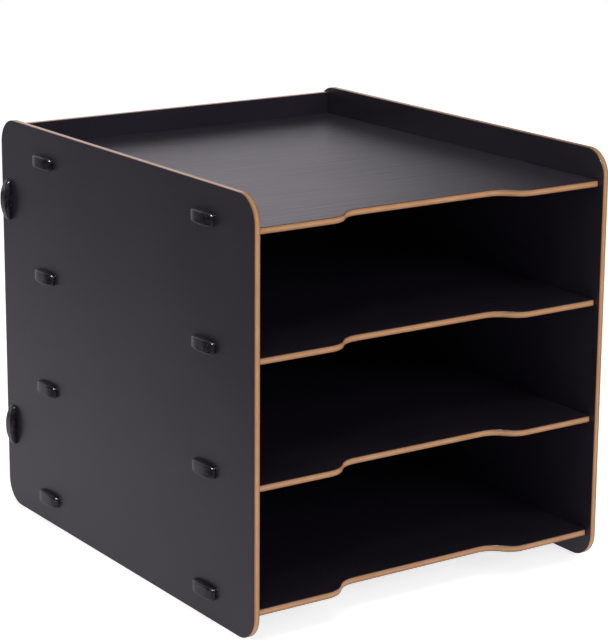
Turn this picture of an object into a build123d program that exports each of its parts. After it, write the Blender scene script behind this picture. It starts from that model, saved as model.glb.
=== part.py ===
"""Desk letter tray stack with an open top tray and three open bays, in millimetres.

Two side panels, a back panel and four fixed shelves are cut from black-faced fibreboard.
Each shelf and the back panel have tabs that pass through slots in the side panels, and
every tab is closed outside by a push-on rubber cap, which grips it and holds the joint
together. Nothing moves in use. X runs to the right, Y to the back and Z up. The origin
lies on the desk, midway between the side panels' outer faces and between their front and
rear edges.
"""
from build123d import *
import os

os.makedirs("parts", exist_ok=True)

# ---- Boards -------------------------------------------------------------------------
board_thickness = 4.2         # fibreboard core with a black foil on both faces
edge_break = 0.3              # sanded bevel along each cut outline

overall_width = 270.0         # over the side panels' outer faces, without the caps
side_depth = 320.0            # a side panel, front edge to rear edge
side_height = 276.0
side_corner_radius = 17.0     # all four corners of a side panel

# ---- Shelves ------------------------------------------------------------------------
foot_gap = 16.2               # desk to the underside of the bottom shelf
tray_wall = 19.5              # side panels above the top shelf; the bays share the rest
shelf_setback = 4.0           # shelf lugs behind the side panels' front edges
lug_corner_radius = 2.0
finger_cut_width = 127.0      # between the middles of the two S-curves
finger_cut_depth = 13.0       # from the front of the lugs to the straight middle
finger_curve_length = 27.0    # one S-curve, measured along the shelf's front

# ---- Back panel ---------------------------------------------------------------------
back_inset = 10.0             # middle of the board in front of the side panels' rear edges
back_top_gap = 4.0            # below the top of the side panels
back_bottom_gap = 4.0         # above the desk

# ---- Tabs and slots -----------------------------------------------------------------
slot_clearance = 0.15         # all round a tab where it passes through a side panel
tab_stickout = 2.5            # tab beyond the side panel's outer face
tab_length = 19.0             # shelf tabs, along Y
front_tab_inset = 55.0        # middle of the front tab behind the panels' front edges
rear_tab_inset = 62.0         # middle of the rear tab in front of the panels' rear edges
back_tab_length = 18.0        # back panel tabs, along Z
lower_back_tab_height = 58.0  # middle of the lower tab above the desk
upper_back_tab_drop = 56.0    # middle of the upper tab below the top of the side panels

# ---- Rubber caps --------------------------------------------------------------------
cap_fit = 0.1                 # round the tab inside a cap
cap_side_wall = 2.3           # rubber beside the tab, at the middle of the cap
cap_corner_radius = 2.0
shelf_cap_end_wall = 2.9      # rubber past each end of the tab
shelf_cap_skin = 1.9          # rubber over the tab, at the middle of the cap
shelf_cap_side_crown = 1.1    # bow of the two long sides
shelf_cap_face_crown = 1.5    # bow of the outer face
shelf_cap_shoulder = 1.1      # slope between sides and outer face, as seen from outside
shelf_cap_shoulder_drop = 1.7
back_cap_end_wall = 4.9
back_cap_skin = 2.8
back_cap_side_crown = 1.6
back_cap_face_crown = 1.8
back_cap_shoulder = 1.2
back_cap_shoulder_drop = 3.6

# ---- Places worked out from the sizes above -----------------------------------------
inner_width = overall_width - 2 * board_thickness
front_y = -side_depth / 2
rear_y = side_depth / 2
shelf_front_y = front_y + shelf_setback
back_face_y = rear_y - back_inset - board_thickness / 2
shelf_names = ("bottom_shelf", "lower_shelf", "upper_shelf", "top_shelf")
shelf_rise = side_height - tray_wall - foot_gap - board_thickness
shelf_pitch = shelf_rise / (len(shelf_names) - 1)
shelf_bottoms = [foot_gap + level * shelf_pitch for level in range(len(shelf_names))]
shelf_tab_places = {"front": front_y + front_tab_inset, "rear": rear_y - rear_tab_inset}
back_tab_places = {
    "lower": lower_back_tab_height,
    "upper": side_height - upper_back_tab_drop,
}
tab_root = 1.0                # how far a tab's blank reaches back into its own board
tab_blank = tab_root + board_thickness + tab_stickout


def cut_board(outline, face_plane):
    """One board extruded from a face, with the sanded bevel round both its outlines."""
    board = extrude(face_plane * outline, amount=board_thickness)
    return chamfer(board.faces().filter_by(face_plane).edges(), edge_break)


# ---- Side panels --------------------------------------------------------------------
def slot_blank(y_size, z_size, y, z):
    """What one slot takes out of the left side panel."""
    blank = Box(
        board_thickness + 2 * slot_clearance,
        y_size + 2 * slot_clearance,
        z_size + 2 * slot_clearance,
    )
    return Pos(-(overall_width - board_thickness) / 2, y, z) * blank


def left_side_panel():
    """A rounded board on its bottom edge, slotted for every shelf and back panel tab."""
    outer_face = Plane.YZ.offset(-overall_width / 2)
    outline = Pos(0, side_height / 2) * RectangleRounded(
        side_depth, side_height, side_corner_radius
    )
    panel = cut_board(outline, outer_face)
    for bottom in shelf_bottoms:
        for y in shelf_tab_places.values():
            panel -= slot_blank(tab_length, board_thickness, y, bottom + board_thickness / 2)
    for z in back_tab_places.values():
        panel -= slot_blank(board_thickness, back_tab_length, rear_y - back_inset, z)
    return panel


# ---- Shelves ------------------------------------------------------------------------
def front_edge(side):
    """Half of the shelf's front, from its middle to one lug, for side = -1 or 1.

    Each S-curve is two equal arcs that meet halfway. They run straight on into the lug
    and into the middle of the front, so both arcs start along the front.
    """
    middle_y = shelf_front_y + finger_cut_depth
    curve_x = side * finger_cut_width / 2
    inner_x = curve_x - side * finger_curve_length / 2
    outer_x = curve_x + side * finger_curve_length / 2
    halfway = (curve_x, (shelf_front_y + middle_y) / 2)
    return [
        Line((0, middle_y), (inner_x, middle_y)),
        TangentArc((inner_x, middle_y), halfway, tangent=(side, 0)),
        TangentArc((outer_x, shelf_front_y), halfway, tangent=(-side, 0)),
        Line((outer_x, shelf_front_y), (side * inner_width / 2, shelf_front_y)),
        Line((side * inner_width / 2, shelf_front_y), (side * inner_width / 2, back_face_y)),
    ]


def shelf(bottom):
    """A shelf with a finger cut in its front and two tabs at each side."""
    rear = Line((-inner_width / 2, back_face_y), (inner_width / 2, back_face_y))
    outline = make_face(front_edge(-1) + front_edge(1) + [rear])
    lug_corners = outline.vertices().group_by(Axis.Y)[0].sort_by(Axis.X)
    outline = fillet([lug_corners[0], lug_corners[-1]], lug_corner_radius)
    board = cut_board(outline, Plane.XY.offset(bottom))
    for y in shelf_tab_places.values():
        for side in (-1, 1):
            x = side * (inner_width / 2 - tab_root + tab_blank / 2)
            z = bottom + board_thickness / 2
            board += Pos(x, y, z) * Box(tab_blank, tab_length, board_thickness)
    return board


# ---- Back panel ---------------------------------------------------------------------
def back_panel():
    """A plain upright board behind the shelves, with two tabs at each side."""
    height = side_height - back_top_gap - back_bottom_gap
    outline = Pos(0, back_bottom_gap + height / 2) * Rectangle(inner_width, height)
    board = cut_board(outline, Plane((0, back_face_y, 0), x_dir=(-1, 0, 0), z_dir=(0, 1, 0)))
    for z in back_tab_places.values():
        for side in (-1, 1):
            x = side * (inner_width / 2 - tab_root + tab_blank / 2)
            board += Pos(x, rear_y - back_inset, z) * Box(tab_blank, board_thickness, back_tab_length)
    return board


# ---- Rubber caps --------------------------------------------------------------------
def bowed_rectangle(length, width, crown):
    """A rectangle along X whose two long sides bow out to the width at the middle."""
    end, edge = length / 2, width / 2 - crown
    return make_face([
        ThreePointArc((-end, edge), (0, width / 2), (end, edge)),
        Line((end, edge), (end, -edge)),
        ThreePointArc((end, -edge), (0, -width / 2), (-end, -edge)),
        Line((-end, -edge), (-end, edge)),
    ])


def rubber_cap(tab, end_wall, skin, side_crown, face_crown, shoulder, shoulder_drop):
    """A moulded cap lying on the XY plane, its length along X, with the tab's pocket.

    Its long sides bow outwards, and sloping shoulders lead up to its outer face, which
    is arched from end to end. The pocket is as deep as the tab stands proud, so the tab's
    end seats on the pocket's floor while the cap's rim seats on the side panel.
    """
    length = tab + 2 * (end_wall + cap_fit)
    width = board_thickness + 2 * (cap_side_wall + cap_fit)
    height = tab_stickout + skin
    end_width = width - 2 * side_crown

    plan = bowed_rectangle(length, width, side_crown)
    plan = fillet(plan.vertices(), min(cap_corner_radius, 0.35 * end_width))
    blank = extrude(plan, amount=height)
    top = blank.faces().sort_by(Axis.Z)[-1]
    blank = chamfer(top.edges(), shoulder, shoulder_drop, reference=top)

    arch_radius = (length / 2) ** 2 / (2 * face_crown) + face_crown / 2
    arch = Rot(X=90) * Cylinder(arch_radius, 2 * width)
    pocket = Box(tab + 2 * cap_fit, board_thickness + 2 * cap_fit, 2 * tab_stickout)
    return (blank & Pos(0, 0, height - arch_radius) * arch) - pocket


def cap_seat(side, y, z, along):
    """The plane on a side panel's outer face where a cap's rim seats."""
    return Plane((side * overall_width / 2, y, z), x_dir=along, z_dir=(side, 0, 0))


# ---- The sub-parts ------------------------------------------------------------------
left_panel = left_side_panel()
parts = {
    "left_side_panel": left_panel,
    "right_side_panel": mirror(left_panel, about=Plane.YZ),
    "back_panel": back_panel(),
}

shelf_cap = rubber_cap(
    tab_length,
    shelf_cap_end_wall,
    shelf_cap_skin,
    shelf_cap_side_crown,
    shelf_cap_face_crown,
    shelf_cap_shoulder,
    shelf_cap_shoulder_drop,
)
back_cap = rubber_cap(
    back_tab_length,
    back_cap_end_wall,
    back_cap_skin,
    back_cap_side_crown,
    back_cap_face_crown,
    back_cap_shoulder,
    back_cap_shoulder_drop,
)

for name, bottom in zip(shelf_names, shelf_bottoms):
    parts[name] = shelf(bottom)

for side_name, side in (("left", -1), ("right", 1)):
    for name, bottom in zip(shelf_names, shelf_bottoms):
        for place, y in shelf_tab_places.items():
            seat = cap_seat(side, y, bottom + board_thickness / 2, (0, 1, 0))
            parts[f"{side_name}_{name}_{place}_cap"] = seat * shelf_cap
    for place, z in back_tab_places.items():
        seat = cap_seat(side, rear_y - back_inset, z, (0, 0, 1))
        parts[f"{side_name}_back_panel_{place}_cap"] = seat * back_cap

for name, part in parts.items():
    export_step(part, f"parts/{name}.step")
    print(f"{name}: {part.volume:.0f} mm3")
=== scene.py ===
# %% [markdown]
# # A desk letter tray stack
#
# The real object is seven thin boards: two upright side panels, a back panel and four
# shelves. They are cut from fibreboard with a black foil on both faces, so every face is
# dark and every cut edge is light brown. The shelves and the back panel have tabs that go
# through slots in the side panels, and small black rubber caps sit on the tabs outside.
#
# The boards arrive finished from the CAD model, as a fixed frame. This lesson gives them
# their foil and their cut edges, moulds the rubber caps as smooth surfaces, and sets up
# the studio.

# %% Load the frame
import math

import bmesh
import bpy
import numpy as np
from mathutils import Matrix, Vector


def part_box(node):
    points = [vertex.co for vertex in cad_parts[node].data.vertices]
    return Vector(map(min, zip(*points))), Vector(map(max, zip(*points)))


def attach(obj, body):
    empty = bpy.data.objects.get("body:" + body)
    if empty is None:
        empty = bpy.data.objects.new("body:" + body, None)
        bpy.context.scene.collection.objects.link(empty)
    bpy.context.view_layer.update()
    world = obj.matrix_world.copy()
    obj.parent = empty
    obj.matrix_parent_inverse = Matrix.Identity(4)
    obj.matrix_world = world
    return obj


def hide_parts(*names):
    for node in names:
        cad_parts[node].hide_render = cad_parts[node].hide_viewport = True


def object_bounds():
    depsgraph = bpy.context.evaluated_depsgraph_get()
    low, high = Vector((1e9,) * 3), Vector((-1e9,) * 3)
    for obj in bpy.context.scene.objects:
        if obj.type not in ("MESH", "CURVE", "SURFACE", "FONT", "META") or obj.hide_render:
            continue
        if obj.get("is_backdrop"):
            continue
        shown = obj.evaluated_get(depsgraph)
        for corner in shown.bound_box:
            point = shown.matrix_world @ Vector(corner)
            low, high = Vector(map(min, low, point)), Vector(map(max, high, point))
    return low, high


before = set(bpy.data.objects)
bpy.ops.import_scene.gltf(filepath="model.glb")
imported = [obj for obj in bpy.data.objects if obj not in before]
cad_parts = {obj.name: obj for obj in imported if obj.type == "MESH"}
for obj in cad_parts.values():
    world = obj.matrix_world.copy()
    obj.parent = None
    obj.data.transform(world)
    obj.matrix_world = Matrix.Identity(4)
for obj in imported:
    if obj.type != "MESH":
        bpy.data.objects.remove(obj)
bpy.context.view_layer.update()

# %% [markdown]
# ## The camera
#
# A product camera stands about 1.6 m away with a long lens, so that the boards' edges stay
# nearly parallel. It looks at the open front from the left and from a little above. The
# place, the three angles and the lens were found by fitting a pinhole camera to the board
# edges of the photograph. The focal length is kept in pixels of a 608 by 640 image, which
# makes it easy to compare with measurements in the picture. Blender wants it in
# millimetres on a sensor whose long side is 36 mm, so it is converted here.

# %% Set up the camera
IMAGE_WIDTH = 608
IMAGE_HEIGHT = 640
SENSOR_WIDTH = 36.0                       # millimetres, the sensor's long side
FOCAL_PIXELS = 2302.0
OPTICAL_CENTRE = (275.5, 267.9)           # the pixel that the lens points at
CAMERA_PLACE = Vector((-0.8413, -1.2459, 0.5462))
CAMERA_YAW = math.radians(33.58)          # turned from straight ahead to the right
CAMERA_PITCH = math.radians(13.54)        # tilted down
CAMERA_ROLL = math.radians(0.20)


def add_camera():
    """Adds the camera: its -Z axis is the line of sight and its Y axis is up."""
    camera = bpy.data.objects.new("camera", bpy.data.cameras.new("camera"))
    bpy.context.scene.collection.objects.link(camera)
    turn = Matrix.Rotation(-CAMERA_YAW, 4, "Z")
    tilt = Matrix.Rotation(math.pi / 2 - CAMERA_PITCH, 4, "X")
    roll = Matrix.Rotation(CAMERA_ROLL, 4, "Z")
    camera.matrix_world = Matrix.Translation(CAMERA_PLACE) @ turn @ tilt @ roll
    camera.data.sensor_width = SENSOR_WIDTH
    camera.data.lens = FOCAL_PIXELS * SENSOR_WIDTH / IMAGE_HEIGHT
    camera.data.shift_x = (IMAGE_WIDTH / 2 - OPTICAL_CENTRE[0]) / IMAGE_HEIGHT
    camera.data.shift_y = (OPTICAL_CENTRE[1] - IMAGE_HEIGHT / 2) / IMAGE_HEIGHT
    bpy.context.scene.camera = camera
    return camera.data


lens = add_camera()
print(f"lens {lens.lens:.1f} mm, shift {lens.shift_x:.3f}, {lens.shift_y:.3f}")

# %% [markdown]
# ## Shader maths as Python
#
# A material is a graph of nodes, and a formula of five terms is soon a tangle of wires.
# So a small class wraps a node's output and overloads Python's operators: `1 - mask` adds a
# Math node and returns its output, wrapped again. Every other node comes from one method,
# `Finish.add`, which sets the node's settings first and then its sockets.

# %% A class for sockets and one for finishes
class Socket:
    """A node's output. Arithmetic on it adds Math nodes to the same material."""

    def __init__(self, finish, output):
        self.finish = finish
        self.output = output

    def maths(self, operation, *values):
        """One Math node on these values."""
        return self.finish.add(
            "ShaderNodeMath", {"operation": operation}, dict(enumerate(values))
        )

    def __add__(self, other):
        return self.maths("ADD", self, other)

    def __radd__(self, other):
        return self.maths("ADD", other, self)

    def __sub__(self, other):
        return self.maths("SUBTRACT", self, other)

    def __rsub__(self, other):
        return self.maths("SUBTRACT", other, self)

    def __mul__(self, other):
        return self.maths("MULTIPLY", self, other)

    def __rmul__(self, other):
        return self.maths("MULTIPLY", other, self)

    def __abs__(self):
        return self.maths("ABSOLUTE", self)

    def rise(self, start, end):
        """0 below start, 1 above end, and a smooth S between."""
        return self.finish.add(
            "ShaderNodeMapRange",
            {"interpolation_type": "SMOOTHSTEP"},
            {"Value": self, "From Min": start, "From Max": end},
        )


class Finish:
    """The node graph of a new material, or of the world, and the shader it feeds."""

    def __init__(self, owner, shader="Principled BSDF"):
        owner.use_nodes = True
        self.owner = owner
        self.tree = owner.node_tree
        self.shader = self.tree.nodes[shader]

    def join(self, value, socket):
        """A wrapped output is linked to the socket, and a plain value is set on it."""
        if isinstance(value, Socket):
            self.tree.links.new(value.output, socket)
        else:
            socket.default_value = value

    def add(self, kind, settings=None, inputs=None, output=0):
        """Any node: settings first, then sockets by name or number; returns one output.

        A tuple of outputs returns a list of them.
        """
        node = self.tree.nodes.new(kind)
        for name, value in (settings or {}).items():
            setattr(node, name, value)
        for name, value in (inputs or {}).items():
            self.join(value, node.inputs[name])
        if isinstance(output, tuple):
            return [Socket(self, node.outputs[each]) for each in output]
        return Socket(self, node.outputs[output])

    def split(self, vector, axes=("X", "Y", "Z")):
        """The numbers of a vector on these axes, as a list."""
        return self.add("ShaderNodeSeparateXYZ", None, {"Vector": vector}, output=axes)

    def place(self):
        """Object coordinates in millimetres, as a vector."""
        metres = self.add("ShaderNodeTexCoord", output="Object")
        return self.add(
            "ShaderNodeVectorMath",
            {"operation": "SCALE"},
            {"Vector": metres, "Scale": 1000.0},
        )

    def noise(self, vector, size, detail=3.0, roughness=0.5, offset=(0, 0, 0)):
        """Noise from 0 to 1 whose lumps measure size millimetres along X, Y and Z."""
        placed = self.add(
            "ShaderNodeMapping",
            {"vector_type": "POINT"},
            {"Vector": vector, "Location": offset, "Scale": [1 / along for along in size]},
        )
        values = {"Vector": placed, "Scale": 1.0, "Detail": detail, "Roughness": roughness}
        return self.add("ShaderNodeTexNoise", {"normalize": True}, values)

    def blend(self, share, first, second):
        """The first colour where share is 0 and the second where it is 1."""
        values = {"Factor": share, 6: first, 7: second}
        return self.add("ShaderNodeMix", {"data_type": "RGBA"}, values, output=2)

    def bump(self, height, distance):
        """A normal for a relief of height times distance, which is in metres."""
        return self.add("ShaderNodeBump", None, {"Height": height, "Distance": distance})

    def dress(self, **sockets):
        """Sets or links the shader's sockets; _ stands for a space. Returns the owner."""
        for name, value in sockets.items():
            self.join(value, self.shader.inputs[name.replace("_", " ")])
        return self.owner


# %% [markdown]
# ## The boards: black foil and a brown cut edge
#
# A board is one mesh, but it has two finishes. Its two broad faces carry a smooth black
# foil with a satin sheen. All round its outline the saw has cut through to the
# fibreboard core, which is light brown and slightly fibrous. At each foil it has a thin
# dark line, partly the foil's own cut edge and partly painted shade along the edge break.
#
# Two materials on two sets of faces would need the mesh to be sorted. It is simpler to let
# the shader decide: it measures how far a point lies from the board's middle plane. At half
# the thickness it is on the foil, and anything nearer to the middle is a cut edge. The same
# distance draws the dark lines with their painted shade. Only the board's axis and middle
# differ from board to board, so one function makes them all.

# %% Colours, sizes and depths of the board finish
FOIL = (0.0200, 0.0155, 0.0265, 1.0)      # black with a faint violet cast
FOIL_WORN = (0.0250, 0.0200, 0.0320, 1.0)
CORE = (0.41, 0.205, 0.094, 1.0)          # pressed hard under the foil, and darker for it
CORE_PALE = (0.64, 0.355, 0.180, 1.0)     # looser fibres in the middle of the board
CORE_LINE_AND_SHADE = (0.060, 0.036, 0.026, 1.0)    # the dark line at each foil: its cut edge, partly painted shade

# Lumps of noise in millimetres. Where there are two sizes, the second one is that along
# the grain, or for the fibres that through the board's thickness.
STREAK_SIZES = (3.0, 90.0)
GRAIN_SIZES = (5.0, 60.0)
CLOUD_SIZE = 70.0
PORE_SIZE = 0.35
FIBRE_SIZES = (0.8, 0.25)
PATCH_SIZE = 14.0
SEED_STEP = (17.0, 31.0, 7.0)             # shifts the noise from each board to the next

# Distances from the middle plane at which a smooth step begins and ends
EDGE_BREAK = 0.30                         # millimetres, the bevel along the cut outline
FOIL_STEP = (0.6, 0.3)                    # edge breaks below the board's face
# where the dark line at each foil and its painted shade begin and end
LINE_AND_SHADE_STEP = (1.7, 0.9)
PRESSED_STEP = (0.10, 0.80)               # of half the thickness

# Weights of the noises in the colours, and the sums between which a colour turns
STREAK_WEAR = 0.3
CLOUD_WEAR = 0.7
WEAR_STEP = (0.35, 0.75)
PRESSED_TONE = 0.6
FIBRE_TONE = 0.5
PATCH_TONE = 0.6
TONE_STEP = (0.15, 1.05)
LINE_AND_SHADE_LEAST = 0.55                         # strength of the dark line and its painted shade between the fibres
LINE_AND_SHADE_FIBRES = 0.5

FOIL_ROUGHNESS = 0.26
FOIL_UNEVENNESS = 0.05                    # added by the streaks and again by the clouds
CORE_ROUGHNESS = 0.25
SURFACE_IOR = 1.50                        # of the foil and of the rubber
RELIEF = 0.00004                          # metres; the depths here are multiples of it
PORE_DEPTH = 0.03
SHELF_GRAIN_DEPTH = 6.0
PANEL_GRAIN_DEPTH = 0.20


# %% The board finish
def all_but(axis, usual, special):
    """Three sizes: the special one along this axis and the usual one along the others."""
    return [special if number == axis else usual for number in range(3)]


def board_finish(name, axis, middle, thickness, seed, grain_depth):
    """Foil where |distance from the middle plane| is half the thickness, else cut core.

    axis is the number of the thickness axis, and middle and thickness are in millimetres.
    grain_depth says how deep the foil's lengthwise grain is pressed. The grain runs along
    X, or along Y on a board that is thin along X.
    """
    finish = Finish(bpy.data.materials.new(name))
    vector = finish.place()
    shift = [seed * step for step in SEED_STEP]
    along = 1 if axis == 0 else 0
    half = thickness / 2
    depth = abs(finish.split(vector)[axis] - middle)
    # face is the foil; the second mask is the dark line at each foil with its painted shade
    face, line_and_shade = (
        depth.rise(half - EDGE_BREAK * start, half - EDGE_BREAK * end)
        for start, end in (FOIL_STEP, LINE_AND_SHADE_STEP)
    )
    pressed = depth.rise(*(half * share for share in PRESSED_STEP))

    streaks = finish.noise(vector, all_but(along, *STREAK_SIZES), offset=shift)
    clouds = finish.noise(vector, (CLOUD_SIZE,) * 3, detail=2.0, offset=shift)
    grain = finish.noise(
        vector, all_but(along, *GRAIN_SIZES), detail=4.0, roughness=0.6, offset=shift
    )
    pores = finish.noise(vector, (PORE_SIZE,) * 3, detail=2.0, offset=shift)
    wear = streaks * STREAK_WEAR + clouds * CLOUD_WEAR
    foil = finish.blend(wear.rise(*WEAR_STEP), FOIL, FOIL_WORN)

    fibres = finish.noise(
        vector, all_but(axis, *FIBRE_SIZES), roughness=0.65, offset=shift
    )
    patches = finish.noise(vector, (PATCH_SIZE,) * 3, detail=2.0, offset=shift)
    tone = pressed * PRESSED_TONE + fibres * FIBRE_TONE + patches * PATCH_TONE
    core = finish.blend(tone.rise(*TONE_STEP), CORE_PALE, CORE)
    # The dark line at each foil: the foil's cut edge, with painted shade over the edge
    # break.
    core = finish.blend(line_and_shade * (LINE_AND_SHADE_LEAST + fibres * LINE_AND_SHADE_FIBRES), core, CORE_LINE_AND_SHADE)

    foil_height = pores * PORE_DEPTH + grain * grain_depth
    foil_roughness = FOIL_ROUGHNESS + streaks * FOIL_UNEVENNESS + clouds * FOIL_UNEVENNESS
    return finish.dress(
        Base_Color=finish.blend(face, core, foil),
        Roughness=face * foil_roughness + (1 - face) * CORE_ROUGHNESS,
        IOR=SURFACE_IOR,
        Normal=finish.bump(face * foil_height + (1 - face) * fibres, RELIEF),
    )


# %% Dress the boards
BOARD_AXES = {
    "left_side_panel": 0,
    "right_side_panel": 0,
    "back_panel": 1,
    "bottom_shelf": 2,
    "lower_shelf": 2,
    "upper_shelf": 2,
    "top_shelf": 2,
}


def board_middle(name, axis):
    """Middle plane and thickness in millimetres, read from the node's own mesh.

    The tabs are as thick as their board, so the lowest and highest corner will do.
    """
    low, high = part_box(name)
    return 500 * (low[axis] + high[axis]), 1000 * (high[axis] - low[axis])


def show(node, material):
    """Gives a CAD node one material."""
    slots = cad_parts[node].data.materials
    slots.clear()
    slots.append(material)


for seed, (name, axis) in enumerate(BOARD_AXES.items()):
    middle, thickness = board_middle(name, axis)
    grain_depth = SHELF_GRAIN_DEPTH if axis == 2 else PANEL_GRAIN_DEPTH
    show(name, board_finish(name + "_finish", axis, middle, thickness, seed, grain_depth))
print(f"{len(BOARD_AXES)} boards finished, the last {thickness:.2f} mm thick")

# %% [markdown]
# ## The rubber caps
#
# Each cap is a small moulded cushion of black rubber, pushed over a tab until its rim
# meets the side panel. Its long sides bow outwards, its outer face is arched from end to
# end, and its edges are rounded, which is what catches the light. A bevelled box would
# have the size but not the swell, so the cap is computed as one surface.
#
# The recipe is a grid of rings. The outermost ring is the cap's outline. The rings climb
# the wall, turn inwards along a quarter of an ellipse, and then slide over the arched face
# until they meet on the middle line. Under the rim the same rings run inwards to the pocket
# that holds the tab, and close on the pocket's floor.

# %% Outline of a cap
# In millimetres: the bow of a long side, the face's crown and its power, the corners'
# radius, and the rim's width and depth
SHELF_CAP = {"side_crown": 0.8, "face": (2.2, 3.5), "corner": 2.4, "rim": (1.3, 1.8)}
BACK_CAP = {"side_crown": 1.6, "face": (3.2, 2.4), "corner": 2.2, "rim": (1.5, 3.0)}
RING_POINTS = 192
SIDE_POINTS = 60                          # of half a long side, before they are evened out
CORNER_POINTS = 40
END_POINTS = 20                           # of half an end


def cap_outline(length, width, side_crown, corner):
    """The bowed, round-cornered outline as RING_POINTS points at even spacing, clockwise.

    The half width at x is (width / 2 - side_crown) + side_crown * (1 - (2x / length)^2),
    and each corner is then cut by a circle of radius corner.
    """
    end = length / 2
    end_half = width / 2 - side_crown

    def half_width(x):
        return end_half + side_crown * (1 - (x / end) ** 2)

    slope = math.atan(2 * side_crown / end)
    along = np.linspace(0, end - corner, SIDE_POINTS)
    turn = np.linspace(0, 1, CORNER_POINTS)
    centre = np.array([end - corner, half_width(end - corner) - corner / math.cos(slope)])
    angle = (math.pi / 2 - slope) * (1 - turn)
    arc = centre + corner * np.stack([np.cos(angle), np.sin(angle)], 1)
    side = np.stack([along, half_width(along)], 1)
    down = np.stack([np.full(END_POINTS, end), np.linspace(centre[1], 0, END_POINTS)], 1)
    quarter = np.concatenate([side, arc, down])
    right = np.concatenate([quarter, (quarter * [1, -1])[::-1]])
    loop = np.concatenate([right, (right * [-1, 1])[::-1]])
    step = np.linalg.norm(np.diff(loop, axis=0, append=loop[:1]), axis=1)
    travelled = np.concatenate([[0], np.cumsum(step)])
    closed = np.concatenate([loop, loop[:1]])
    even = np.linspace(0, travelled[-1], RING_POINTS, endpoint=False)
    return np.stack([np.interp(even, travelled, closed[:, k]) for k in (0, 1)], 1)


def inward(ring):
    """Unit normals that point into a clockwise ring, from its neighbours' difference."""
    ahead = np.roll(ring, -1, 0) - np.roll(ring, 1, 0)
    ahead /= np.linalg.norm(ahead, axis=1, keepdims=True)
    return np.stack([ahead[:, 1], -ahead[:, 0]], 1)


# %% [markdown]
# The face is a pillow: its height falls by a power of the distance from the middle. On the
# shelf caps the power is high, so the face is nearly flat and falls off quickly at both
# ends, which gives one bright band at the rear end and a dark face. On the longer caps of
# the back panel it is an even arch. The rim between wall and face is a quarter of an
# ellipse, deeper than it is wide, but never deeper than most of the cap's height at its
# thin ends.

# %% The rings of a cap
RIM_RINGS = 12
FACE_RINGS = 9
FOOT_BREAK = 0.12                         # millimetres, the small bevel where a cap seats
RIM_LIMIT = 0.75                          # the rim's greatest share of the cap's height


def pillow(x, length, height, face):
    """Height of the outer face at x: height - crown * |2x / length|^power."""
    crown, power = face
    return height - crown * np.abs(2 * x / length) ** power


def cap_rings(length, width, height, tab, style):
    """All rings of one cap as an array (ring, point, 3), from pocket floor to outer face.

    length, width, height and tab = (tab length, tab width, pocket depth) are in
    millimetres. X runs along the cap and Z away from the panel. On the rim, at angle a, a
    ring lies rim width * (1 - cos a) inside the outline and rim depth * (1 - sin a) below
    the pillow. On the face the rings go in even steps to the middle line.
    """
    outline = cap_outline(length, width, style["side_crown"], style["corner"])
    normal = inward(outline)

    def lifted(ring, z):
        return np.concatenate([ring, np.broadcast_to(z, (len(ring), 1))], 1)

    pocket = np.clip(outline, [-tab[0] / 2, -tab[1] / 2], [tab[0] / 2, tab[1] / 2])
    pocket_middle = np.clip(outline, [-tab[0] / 2, 0], [tab[0] / 2, 0])
    rings = [lifted(pocket_middle, tab[2]), lifted(pocket, tab[2]), lifted(pocket, 0.0)]
    rings.append(lifted(outline + FOOT_BREAK * normal, 0.0))
    rings.append(lifted(outline, FOOT_BREAK))

    rim_width, rim_depth = style["rim"]
    edge_height = pillow(outline[:, :1], length, height, style["face"])
    depth = np.minimum(rim_depth, RIM_LIMIT * edge_height)
    for share in np.linspace(0, 1, RIM_RINGS, endpoint=False):
        angle = share * math.pi / 2
        ring = outline + normal * rim_width * (1 - math.cos(angle))
        top = pillow(ring[:, :1], length, height, style["face"])
        rings.append(lifted(ring, top - depth * (1 - math.sin(angle))))
    shoulder = outline + normal * rim_width
    reach = length / 2 - width / 2
    spine = np.stack([np.clip(shoulder[:, 0], -reach, reach), np.zeros(len(shoulder))], 1)
    for share in np.linspace(0, 1, FACE_RINGS):
        ring = shoulder * (1 - share) + spine * share
        rings.append(lifted(ring, pillow(ring[:, :1], length, height, style["face"])))
    return np.array(rings)


print("a cap's outline has", RING_POINTS, "points, its rim", RIM_RINGS, "rings")

# %% [markdown]
# A ring surface becomes a mesh by joining each point to its neighbour on the ring and to
# its partner on the next ring. Where the rings close, on the pocket's floor and on the
# middle line of the face, several points fall together, so doubles are merged and what
# shrank to nothing is dropped.

# %% Rings to a mesh
MERGE_DISTANCE = 2e-6                     # metres


def ring_mesh(name, rings):
    """A closed, smooth mesh in metres from rings (ring, point, 3) in millimetres."""
    count, around = rings.shape[:2]
    here = np.arange(count * around).reshape(count, around)
    beside = np.roll(here, -1, 1)
    quads = np.stack([here[:-1], beside[:-1], beside[1:], here[1:]], -1).reshape(-1, 4)
    mesh = bpy.data.meshes.new(name)
    mesh.from_pydata((rings.reshape(-1, 3) / 1000).tolist(), [], quads.tolist())
    work = bmesh.new()
    work.from_mesh(mesh)
    bmesh.ops.remove_doubles(work, verts=work.verts, dist=MERGE_DISTANCE)
    bmesh.ops.dissolve_degenerate(work, edges=work.edges, dist=MERGE_DISTANCE)
    bmesh.ops.recalc_face_normals(work, faces=work.faces)
    work.to_mesh(mesh)
    work.free()
    mesh.polygons.foreach_set("use_smooth", np.ones(len(mesh.polygons), bool))
    return mesh


# %% [markdown]
# Rubber is black through and through, with a soft sheen. Fine pits from the mould and a
# little dust make its highlight break up, and that is what tells it from plastic.

# %% The rubber finish
RUBBER = (0.0095, 0.0080, 0.0120, 1.0)
RUBBER_DUSTY = (0.0300, 0.0260, 0.0360, 1.0)
RUBBER_ROUGHNESS = 0.17
DUST_ROUGHNESS = 0.10                     # what full dust adds
DUST_SIZE = 3.0                           # millimetres
DUST_STEP = (0.35, 0.70)                  # of the noise, from clean to dusty
PIT_SIZE = 0.22                           # millimetres
PIT_RELIEF = 0.000012                     # metres


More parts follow.
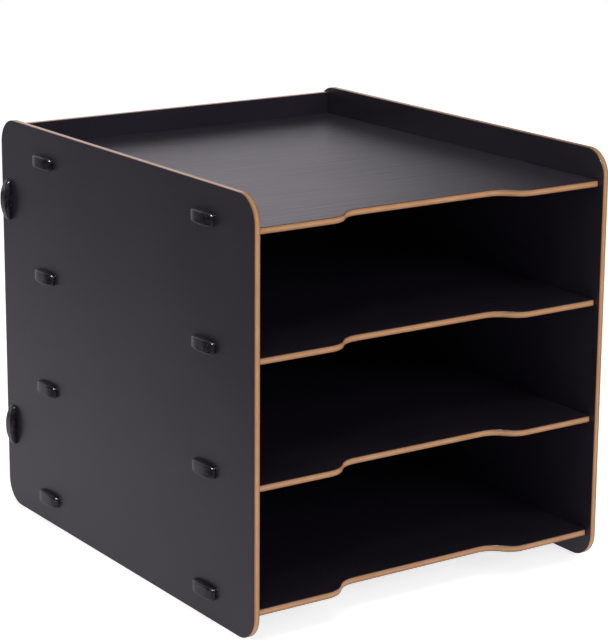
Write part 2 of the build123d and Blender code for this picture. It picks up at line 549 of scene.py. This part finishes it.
def rubber_finish():
    """Black moulded rubber: fine pits in the relief and faint dust in the colour."""
    finish = Finish(bpy.data.materials.new("cap_rubber"))
    vector = finish.place()
    pits = finish.noise(vector, (PIT_SIZE,) * 3, detail=2.0)
    dust = finish.noise(vector, (DUST_SIZE,) * 3, detail=4.0, roughness=0.6)
    return finish.dress(
        Base_Color=finish.blend(dust.rise(*DUST_STEP), RUBBER, RUBBER_DUSTY),
        Roughness=RUBBER_ROUGHNESS + dust * DUST_ROUGHNESS,
        IOR=SURFACE_IOR,
        Normal=finish.bump(pits, PIT_RELIEF),
    )


rubber = rubber_finish()

# %% [markdown]
# Every cap takes its place, its length and its height from the box of the CAD node that it
# stands for. Its width follows from the board and the rubber beside the tab. The node's
# name tells which way the cap points: out to the left or to the right, and lying along the
# shelf or standing along the back panel.

# %% Place the caps
TAB_LENGTHS = {"shelf": 19.0, "back_panel": 18.0}
TAB_STICKOUT = 2.5
CAP_FIT = 0.1                             # round the tab inside a cap
CAP_SIDE_WALL = 2.3                       # rubber beside the tab, at the middle of the cap


def add_cap(node):
    """A smooth cap in the box of its CAD node, riding on the root body."""
    low, high = (np.array(corner) * 1000 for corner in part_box(node))
    standing = "back_panel" in node
    length_axis, width_axis = (2, 1) if standing else (1, 2)
    style = BACK_CAP if standing else SHELF_CAP
    tab_length = TAB_LENGTHS["back_panel" if standing else "shelf"]
    board = board_middle("top_shelf", 2)[1]
    tab = (tab_length + 2 * CAP_FIT, board + 2 * CAP_FIT, TAB_STICKOUT)
    size = high - low
    width = board + 2 * (CAP_SIDE_WALL + CAP_FIT)
    local = cap_rings(size[length_axis], width, size[0], tab, style)
    outward = -1 if node.startswith("left") else 1
    seat = high[0] if outward < 0 else low[0]
    placed = np.empty_like(local)
    placed[..., 0] = seat + outward * local[..., 2]
    placed[..., length_axis] = (low + high)[length_axis] / 2 + local[..., 0]
    placed[..., width_axis] = (low + high)[width_axis] / 2 + local[..., 1]
    piece = bpy.data.objects.new(node + "_moulding", ring_mesh(node + "_moulding", placed))
    bpy.context.scene.collection.objects.link(piece)
    piece.data.materials.append(rubber)
    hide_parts(node)
    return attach(piece, "root")


caps = [add_cap(node) for node in sorted(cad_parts) if node.endswith("_cap")]
print(len(caps), "caps of", len(caps[0].data.polygons), "faces")

# %% [markdown]
# ## The studio
#
# Black satin board shows little colour of its own. What the eye sees is mostly what it
# reflects, so the surroundings matter more than the lamps. The stack stands on a broad
# strip of white paper, which runs under it, away from the open front, and up behind it as
# the backdrop. The backdrop grows darker upwards, and to both sides of the strip and behind
# the camera the studio is dim. That is why the side panel is lighter at the back and at the
# foot, why the tray grows darker to the right and shows its grain, and why a cap is bright
# at its rear end and dark over the rest.
#
# So the floor and the world answer two questions. A mirrored ray gets the strip of paper,
# with soft edges and a faint violet cast. The camera itself sees plain white all round. The
# floor is pale paper that takes the soft shadow. It glows a little, as paper does under
# more lamps than these three, and slightly more for the camera, which brings its lit part
# up to white.

# %% White for the camera
FLOOR_REACH = 12.0                        # metres from the middle to each side
FLOOR_ROUGHNESS = 0.9
FLOOR_ALBEDO = 0.85
FLOOR_GLOW = 0.60                         # bounced light that the lamps alone don't give
FLOOR_SEEN_GLOW = 0.14                    # a little more for the camera, up to white
FLOOR_MIRRORED = 0.60                     # the floor's share of its brightness in a mirror
BACKDROP = 1.10                           # the backdrop's foot, as the boards mirror it
BACKDROP_FALL = 0.95                      # what it loses from there to straight overhead
STUDIO_DIM = 0.06                         # what lies beyond the paper
SKY = 0.28                                # the even light from all round on matt surfaces
FLOOR_STRIP = (0.30, -0.50, -0.10)        # slope, start and end of the strip's soft edge
BACKDROP_STRIP = (0.70, -0.13, 0.03)
STUDIO_TINT = (0.975, 0.925, 1.0, 1.0)
BLACK = (0.0, 0.0, 0.0, 1.0)
WHITE = (1.0, 1.0, 1.0, 1.0)


def ray_kinds(finish):
    """Two masks: 1 for rays straight from the camera, and 1 for mirrored or bent ones."""
    kinds = ("Is Camera Ray", "Is Glossy Ray", "Is Transmission Ray")
    camera_ray, glossy, transmission = finish.add("ShaderNodeLightPath", output=kinds)
    return camera_ray, glossy + transmission


def paper_light(finish, vector, slope, start, end):
    """STUDIO_DIM to 1 across the strip's side edges, as slope * y - |x| rises."""
    x, y = finish.split(vector, ("X", "Y"))
    return STUDIO_DIM + (y * slope - abs(x)).rise(start, end) * (1 - STUDIO_DIM)


def lit(finish, value, colour=WHITE):
    """A colour times a number from 0 to 1."""
    return finish.blend(value, BLACK, colour)


# %% The floor and the world
def add_floor():
    """A wide white floor at the height of the panels' feet."""
    corners = [(-1, -1, 0), (1, -1, 0), (1, 1, 0), (-1, 1, 0)]
    mesh = bpy.data.meshes.new("floor")
    mesh.from_pydata((np.array(corners) * FLOOR_REACH).tolist(), [], [(0, 1, 2, 3)])
    floor = bpy.data.objects.new("floor", mesh)
    bpy.context.scene.collection.objects.link(floor)
    finish = Finish(bpy.data.materials.new("floor_paper"))
    camera_ray, mirrored = ray_kinds(finish)
    metres = finish.add("ShaderNodeTexCoord", output="Object")
    strip = paper_light(finish, metres, *FLOOR_STRIP) * FLOOR_MIRRORED
    plain = lit(finish, FLOOR_ALBEDO)
    plain_glow = lit(finish, camera_ray * FLOOR_SEEN_GLOW + FLOOR_GLOW)
    mirror_image = lit(finish, strip * FLOOR_ALBEDO, STUDIO_TINT)
    mirror_glow = lit(finish, strip * FLOOR_GLOW, STUDIO_TINT)
    mesh.materials.append(
        finish.dress(
            Base_Color=finish.blend(mirrored, plain, mirror_image),
            Roughness=FLOOR_ROUGHNESS,
            Specular_IOR_Level=0.0,
            Emission_Color=finish.blend(mirrored, plain_glow, mirror_glow),
            Emission_Strength=1.0,
        )
    )
    floor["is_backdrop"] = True


def add_world():
    """The backdrop and the sky, which answer each kind of ray in its own way.

    The camera sees white, and matt surfaces an even soft light. Mirrored rays see the
    strip of paper, as bright as BACKDROP - height * BACKDROP_FALL, with height from 0 at
    the floor to 1 overhead.
    """
    world = Finish(bpy.data.worlds.new("studio"), "Background")
    camera_ray, mirrored = ray_kinds(world)
    direction = world.add("ShaderNodeTexCoord", output="Generated")
    height = world.split(direction)[2]
    strip = paper_light(world, direction, *BACKDROP_STRIP)
    backdrop = strip * (BACKDROP - height * BACKDROP_FALL)
    plain = lit(world, camera_ray + (1 - camera_ray) * SKY)
    mirror_image = lit(world, backdrop, STUDIO_TINT)
    colour = world.blend(mirrored, plain, mirror_image)
    bpy.context.scene.world = world.dress(Color=colour, Strength=1.0)


add_floor()
add_world()
print("white floor and backdrop ready")

# %% [markdown]
# Three soft lamps do the rest. A wide softbox overhead adds a little light from above, so
# that the floor shows a soft shadow and the upper cut edges are pale. A large fill from the
# front shows the brown cut edges in their own colour. It is hidden from mirrored rays,
# because seen from behind it would lie as a white glare on the tray. A small lamp up on the
# left puts the point of light on each cap's front corner. It lights nothing else, because
# matt surfaces can't see it.

# %% The lamps
AIM = Vector((0.0, 0.0, 0.14))            # the middle of the stack, in metres


def add_lamp(name, place, size, power, lights_matt=True, is_mirrored=True):
    """A square softbox of that size in metres, aimed at the middle of the stack.

    power is in watts. lights_matt says whether matt surfaces receive its light, and
    is_mirrored whether it shows as a highlight.
    """
    lamp = bpy.data.objects.new(name, bpy.data.lights.new(name, "AREA"))
    bpy.context.scene.collection.objects.link(lamp)
    lamp.data.shape = "SQUARE"
    lamp.data.size = size
    lamp.data.energy = power
    lamp.location = place
    lamp.rotation_mode = "QUATERNION"
    lamp.rotation_quaternion = (AIM - Vector(place)).to_track_quat("-Z", "Y")
    lamp.visible_diffuse = lights_matt
    lamp.visible_glossy = is_mirrored


add_lamp("overhead_softbox", (0.0, 0.1, 1.7), size=1.2, power=9.0)
add_lamp("front_fill", (0.4, -2.2, 0.9), size=1.4, power=16.0, is_mirrored=False)
add_lamp("cap_light", (-0.75, -0.94, 1.4), size=0.26, power=60.0, lights_matt=False)
bpy.context.scene.view_settings.view_transform = "Standard"
print("studio ready")

# %% [markdown]
# ## The visual box
#
# The box of everything that renders, without the floor, is printed in metres.

# %% Print the visual box
seen_low, seen_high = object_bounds()
seen_size = [round(high - low, 4) for low, high in zip(seen_low, seen_high)]
print("visual box in metres:", seen_size)
